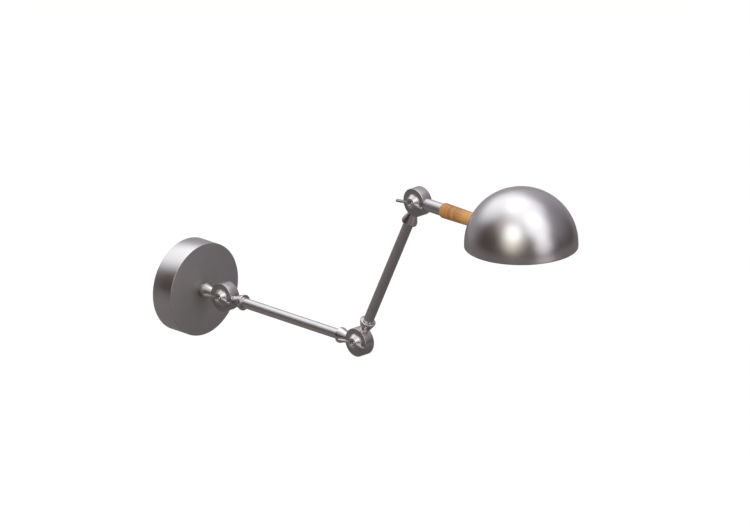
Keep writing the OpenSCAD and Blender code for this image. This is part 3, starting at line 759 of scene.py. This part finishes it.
def wing(side):
    """One wing, drawn out from the hub section by section along +Y or -Y."""
    out, middle, height = wing_sections[0]
    bpy.ops.object.select_all(action="DESELECT")
    bpy.ops.mesh.primitive_plane_add(
        size=MM, location=(0, out * side * MM, (nut_base + middle) * MM),
        rotation=(math.radians(90), 0, 0),
    )
    piece = bpy.context.object
    piece.scale = (wing_thickness, height, 1)
    bpy.ops.object.transform_apply()
    bpy.ops.object.mode_set(mode="EDIT")
    for next_out, next_middle, next_height in wing_sections[1:]:
        step = ((next_out - out) * side * MM, (next_middle - middle) * MM)
        bpy.ops.mesh.extrude_region_move(TRANSFORM_OT_translate={"value": (0, *step)})
        bpy.ops.transform.resize(value=(1, 1, next_height / height))
        out, middle, height = next_out, next_middle, next_height
    bpy.ops.mesh.select_all(action="SELECT")
    bpy.ops.mesh.normals_make_consistent(inside=False)
    bpy.ops.object.mode_set(mode="OBJECT")
    apply_modifier(piece, "BEVEL", width=0.35 * MM, segments=2, angle_limit=math.radians(35))
    return piece


wing_nut = turned("wing_nut", hub_outline, around=96)
for side in (-1, 1):
    cut_or_join(wing_nut, wing(side), "UNION")
apply_modifier(wing_nut, "REMESH", mode="VOXEL", voxel_size=0.22 * MM)
apply_modifier(wing_nut, "SMOOTH", factor=0.5, iterations=2)
for number, knuckle, rear_body, front_body in knuckles:
    bpy.ops.object.select_all(action="DESELECT")
    wing_nut.select_set(True)
    bpy.context.view_layer.objects.active = wing_nut
    bpy.ops.object.duplicate()
    nut = bpy.context.object
    nut.name = f"wing_nut_{number}_cast"
    nut_side = Matrix.Translation(knuckle) @ Matrix.Rotation(math.radians(-90), 4, "Y")
    set_in_place(nut, nut_side)
    nut_steel = satin_steel(f"nut_steel_{number}", nut_side, roughness=0.26)
    fit(nut, nut_steel, f"nut_{number}", "satin_steel", f"wing_nut_{number}")
bpy.data.objects.remove(wing_nut)


# Lamp wires: two insulated wires through the stub, both arms and the handle. Two short bars in
# each knuckle stand for the slack loops that let it turn.
wire_nodes = ["stub_wires", "arm_1_wires", "arm_2_wires", "shade_wires"]
repaint(insulation, *wire_nodes, *[f"knuckle_{number}_wires" for number in (1, 2, 3)])


# Rod: a short steel tube over the third knuckle's spigot, its end filed to the drum's round.
# The wooden handle butts against its other end.
rod_radius = 8.5
rod_bore = spigot_radius + snug
handle_start = 48.5
rod = turned("shade_rod_turned", [
    (rod_bore, drum_half),
    (rod_radius, drum_half),
    (rod_radius, handle_start - 0.3),
    (rod_radius - 0.3, handle_start),
    (rod_bore, handle_start),
    (rod_bore, drum_half),
])
for side, reach in [(-1, drum_radius + snug), (1, drum_radius + neck_relief)]:
    hollow = turned("hollow", [(reach, -lap * side), (reach, 12)], solid=True, around=160)
    set_in_place(hollow, Matrix.Rotation(math.radians(90 * side), 4, "Y"))
    cut_or_join(rod, hollow, "DIFFERENCE")
set_in_place(rod, shade_place)
rod_steel = satin_steel("rod_steel", shade_place, "along", roughness=0.43)
fit(rod, rod_steel, "shade_arm", "satin_steel", "shade_rod")


# Handle: turned from a pale hardwood, with lines cut by the tip of the gouge, then oiled. It is
# clamped between the rod and the shade by the threaded tube inside it.
shade_reach = 195.5
shade_drop = 10.1
shade_radius = 76.2
handle_radius = 10.4
handle_end_radius = 9.3
handle_bore = 4.05
handle_round = 3
handle_blank = 85
handle_end = shade_reach - math.sqrt(shade_radius ** 2 - shade_drop ** 2)
gouge_lines = [
    # distance from the handle's start, half width, depth
    (17.8, 0.7, 0.3),
    (27.8, 0.6, 0.22),
    (36.4, 0.5, 0.14),
    (41.5, 0.4, 0.1),
    (46.5, 0.4, 0.12),
    (51.2, 0.5, 0.16),
    (57.0, 0.5, 0.16),
    (64.5, 0.5, 0.14),
]


def handle_radius_at(s):
    """The handle's radius at a distance from its start, before the lines are cut."""
    share = (s - handle_round) / (handle_end - handle_start - handle_round)
    return handle_radius + (handle_end_radius - handle_radius) * share


start_flat = handle_radius - handle_round
handle_outline = [
    (handle_bore, 0),
    (start_flat, 0),
    *arc(start_flat, handle_round, handle_round, -80, 0, 8),
]
for at, half_width, depth in gouge_lines:
    handle_outline += [
        (handle_radius_at(at - half_width), at - half_width),
        (handle_radius_at(at) - depth, at - half_width * 0.35),
        (handle_radius_at(at) - depth, at + half_width * 0.35),
        (handle_radius_at(at + half_width), at + half_width),
    ]
handle_outline += [
    (handle_radius_at(handle_blank), handle_blank),
    (handle_bore, handle_blank),
    (handle_bore, 0),
]
handle_outline = [(radius, s + handle_start) for radius, s in handle_outline]
handle = turned("wood_handle_turned", handle_outline, around=160)
bpy.ops.object.select_all(action="DESELECT")
bpy.ops.mesh.primitive_uv_sphere_add(
    segments=256,
    ring_count=128,
    radius=(shade_radius + snug) * MM,
    location=(0, -shade_drop * MM, shade_reach * MM),
)
dome_shape = bpy.context.object
bpy.ops.object.transform_apply()
cut_or_join(handle, dome_shape, "DIFFERENCE")
set_in_place(handle, shade_place)

wood, tree, own = material_like("turned_hardwood", shade_place)
x, y, z = (tree.node("ShaderNodeSeparateXYZ", {}, {0: own}, axis) for axis in "XYZ")
drawn_out = tree.node("ShaderNodeCombineXYZ", {}, {"X": x, "Y": y, "Z": z * 0.05})
figure = tree.node("ShaderNodeTexNoise", {}, {
    "Vector": drawn_out, "Scale": 260, "Detail": 5, "Distortion": 0.6,
}, 0)
pores = tree.node("ShaderNodeTexNoise", {}, {"Vector": drawn_out, "Scale": 1700, "Detail": 3}, 0)
s = (z / MM) - handle_start
rings = tree.node("ShaderNodeTexNoise", {"noise_dimensions": "1D"}, {
    "W": s, "Scale": 0.55, "Detail": 3,
}, 0)
toned_length = 80
cut = 0.0
for at, half_width, depth in gouge_lines:
    near = tree.node("ShaderNodeMapRange", {"interpolation_type": "SMOOTHSTEP"}, {
        "Value": tree.maths("ABSOLUTE", s - at),
        "From Min": half_width * 1.6,
        "From Max": 0.1,
        "To Max": depth * 2.2,
    })
    cut = near + cut
# Tone along the handle: the wood's own darker and lighter bands, and a rise towards the shade end
# that is painted light, set against the dome's shadow there.
wood_tone_and_painted_light_along = tree.node("ShaderNodeValToRGB", {"stops": [
    (0.0, (0.372, 0.185, 0.063)),
    (0.09, (0.367, 0.178, 0.058)),
    (0.15, (0.325, 0.142, 0.046)),
    (0.24, (0.36, 0.155, 0.048)),
    (0.3, (0.375, 0.175, 0.061)),
    (0.42, (0.345, 0.165, 0.06)),
    (0.6, (0.53, 0.272, 0.085)),
    (0.85, (0.6, 0.31, 0.095)),
    (1.0, (0.7, 0.385, 0.13)),
]}, {"Fac": s / toned_length})
grain_tone = tree.node("ShaderNodeValToRGB", {"stops": [
    (0.25, (0.8, 0.74, 0.68)),
    (0.5, (0.97, 0.96, 0.95)),
    (0.75, (1.0, 1.0, 1.0)),
]}, {"Fac": figure * 0.55 + rings * 0.45})
grained_tone_and_painted_light = tree.node("ShaderNodeMix", {"data_type": "RGBA", "blend_type": "MULTIPLY"}, {
    "Factor": 1.0, 6: wood_tone_and_painted_light_along, 7: grain_tone,
}, 2)
wood_colour_and_painted_light = tree.node("ShaderNodeMix", {"data_type": "RGBA", "blend_type": "MULTIPLY"}, {
    "Factor": cut, 6: grained_tone_and_painted_light, 7: (0.5, 0.38, 0.3, 1),
}, 2)
wood_bump = tree.node("ShaderNodeBump", {}, {
    "Strength": 0.35, "Distance": 0.00006, "Height": pores * 0.6 + rings * 0.6,
})
shader = tree.node("ShaderNodeBsdfPrincipled", {}, {
    "Base Color": wood_colour_and_painted_light,
    "Roughness": figure * 0.15 + 0.48,
    "Normal": wood_bump,
    "Coat Weight": 0.08,
    "Coat Roughness": 0.3,
})
tree.node("ShaderNodeOutputMaterial", {}, {"Surface": shader})
fit(handle, wood, "shade_arm", "wood", "wood_handle")


# Shade: a dome spun from thin steel sheet on a short straight skirt, its rim turned in to a
# narrow hem. It is open underneath, and plated inside and out.
sheet = 0.9
skirt = 4.5
hem = 1.6
inner = shade_radius - sheet
dome = turned("shade_spun", [
    *arc(0, 0, inner, 89.2, 0, 56),
    (inner, 0.6 - skirt + hem),
    (inner - 0.5, 0.3 - skirt + hem),
    (inner - 0.7, 0.5 - skirt),
    *arc(shade_radius - 0.55, 0.55 - skirt, 0.55, -120, 0, 5),
    (shade_radius, -0.3),
    *arc(0, 0, shade_radius, 0, 89.2, 60),
], solid=True, around=256)
dome_place = Matrix.Translation(shade_place @ (Vector((0, -shade_drop, shade_reach)) * MM))
set_in_place(dome, dome_place)
fit(dome, satin_steel("dome_steel", dome_place, roughness=0.3), "shade_arm", "satin_steel", "shade")


# Handle's threaded tube: it runs from the third knuckle to the lamp holder. Inside the dome a
# curved saddle washer and a brass nut on it clamp the shade against the wooden handle.
saddle_flat = 124.88
spigot_tube_start = 24
holder_start = saddle_flat + nut_height
cap_floor = holder_start + 3.7
handle_tube = threaded_tube("handle_tube_threaded", tube_bore, spigot_tube_start, cap_floor)
set_in_place(handle_tube, shade_place)
fit(handle_tube, tube_zinc, "shade_arm", "zinc_steel", "handle_nipple")
shade_nut = hexagon_nut("shade_nut_brass", saddle_flat, holder_start)
set_in_place(shade_nut, shade_place)
fit(shade_nut, brass, "shade_arm", "brass", "shade_nut")
repaint(satin_steel("saddle_steel", dome_place), "saddle_washer")


# Lamp holder: a cap and a body of black moulded phenolic, screwed together over a brass shell and
# a sprung contact. The body's open end has moulded rings for a shade ring's thread.
phenolic = cloudy("black_phenolic", (0.012, 0.011, 0.01), (0.035, 0.03, 0.026), 250, 0.32, coat=0.4)
holder_cap_length = 13
holder_body_length = 18
cap_end = holder_start + holder_cap_length
holder_mouth = cap_end + holder_body_length
holder_radius = 13.2
holder_cap = turned("holder_cap_moulded", [
    (tube_thread + 0.05, holder_start),
    (9.0, holder_start),
    *arc(10.2, holder_start + 3, 3, -90, 0, 10),
    (holder_radius, cap_end - 1.6),
    (holder_radius - 0.3, cap_end - 1.4),
    (holder_radius - 0.3, cap_end - 1.1),
    (holder_radius, cap_end - 0.9),
    (holder_radius, cap_end - 0.1),
    (11.55, cap_end - 0.1),
    (11.55, cap_floor),
    (tube_thread + 0.05, cap_floor),
    (tube_thread + 0.05, holder_start),
])
set_in_place(holder_cap, shade_place)
fit(holder_cap, phenolic, "shade_arm", "holder_plastic", "holder_cap")

rings_outside = []
for i in range(8):
    at = cap_end + 2.2 + 1.9 * i
    rings_outside += [(holder_radius - 0.7, at), (holder_radius, at + 0.7), (holder_radius, at + 1.1)]
holder_body = turned("holder_body_moulded", [
    (7.8, cap_end - 4),
    (11.4, cap_end - 4),
    (11.4, cap_end),
    (holder_radius, cap_end),
    (holder_radius, cap_end + 1.8),
    *rings_outside,
    (holder_radius - 0.4, holder_mouth),
    (8.3, holder_mouth),
    (7.8, holder_mouth - 0.5),
    (7.8, cap_end - 4),
])
set_in_place(holder_body, shade_place)
fit(holder_body, phenolic, "shade_arm", "holder_plastic", "holder_body")
repaint(brass, "holder_screw_shell", "holder_contact")


# Lamp: a tubular lamp with a small screw cap of rolled metal. Its opal glass is coated white
# inside, glossy outside and rounded at the end.
glass_radius = 11.0
glass_wall = 1.0
glass_length = 68
glass_end = holder_mouth + glass_length
glass_round = glass_end - glass_radius
glass = turned("lamp_glass_blown", [
    *arc(0, glass_round, glass_radius - glass_wall, 89, 0, 20),
    (glass_radius - glass_wall, holder_mouth + 5),
    (9.0, holder_mouth + 2.8),
    (6.7, holder_mouth + 0.8),
    (5.9, holder_mouth),
    (6.9, holder_mouth),
    (7.7, holder_mouth + 0.7),
    (10.0, holder_mouth + 2.9),
    (10.8, holder_mouth + 4.2),
    (glass_radius, holder_mouth + 5.5),
    *arc(0, glass_round, glass_radius, 0, 89, 24),
], solid=True, around=96)
set_in_place(glass, shade_place)
opal = cloudy("opal_glass", (0.8, 0.78, 0.73), (0.86, 0.85, 0.81), 120, 0.22, coat=0.6)
fit(glass, opal, "shade_arm", "opal_glass", "lamp_glass")
rolled_metal = cloudy("rolled_cap", (0.62, 0.6, 0.55), (0.78, 0.76, 0.7), 160, 0.33, metallic=1.0)
repaint(rolled_metal, "lamp_cap")
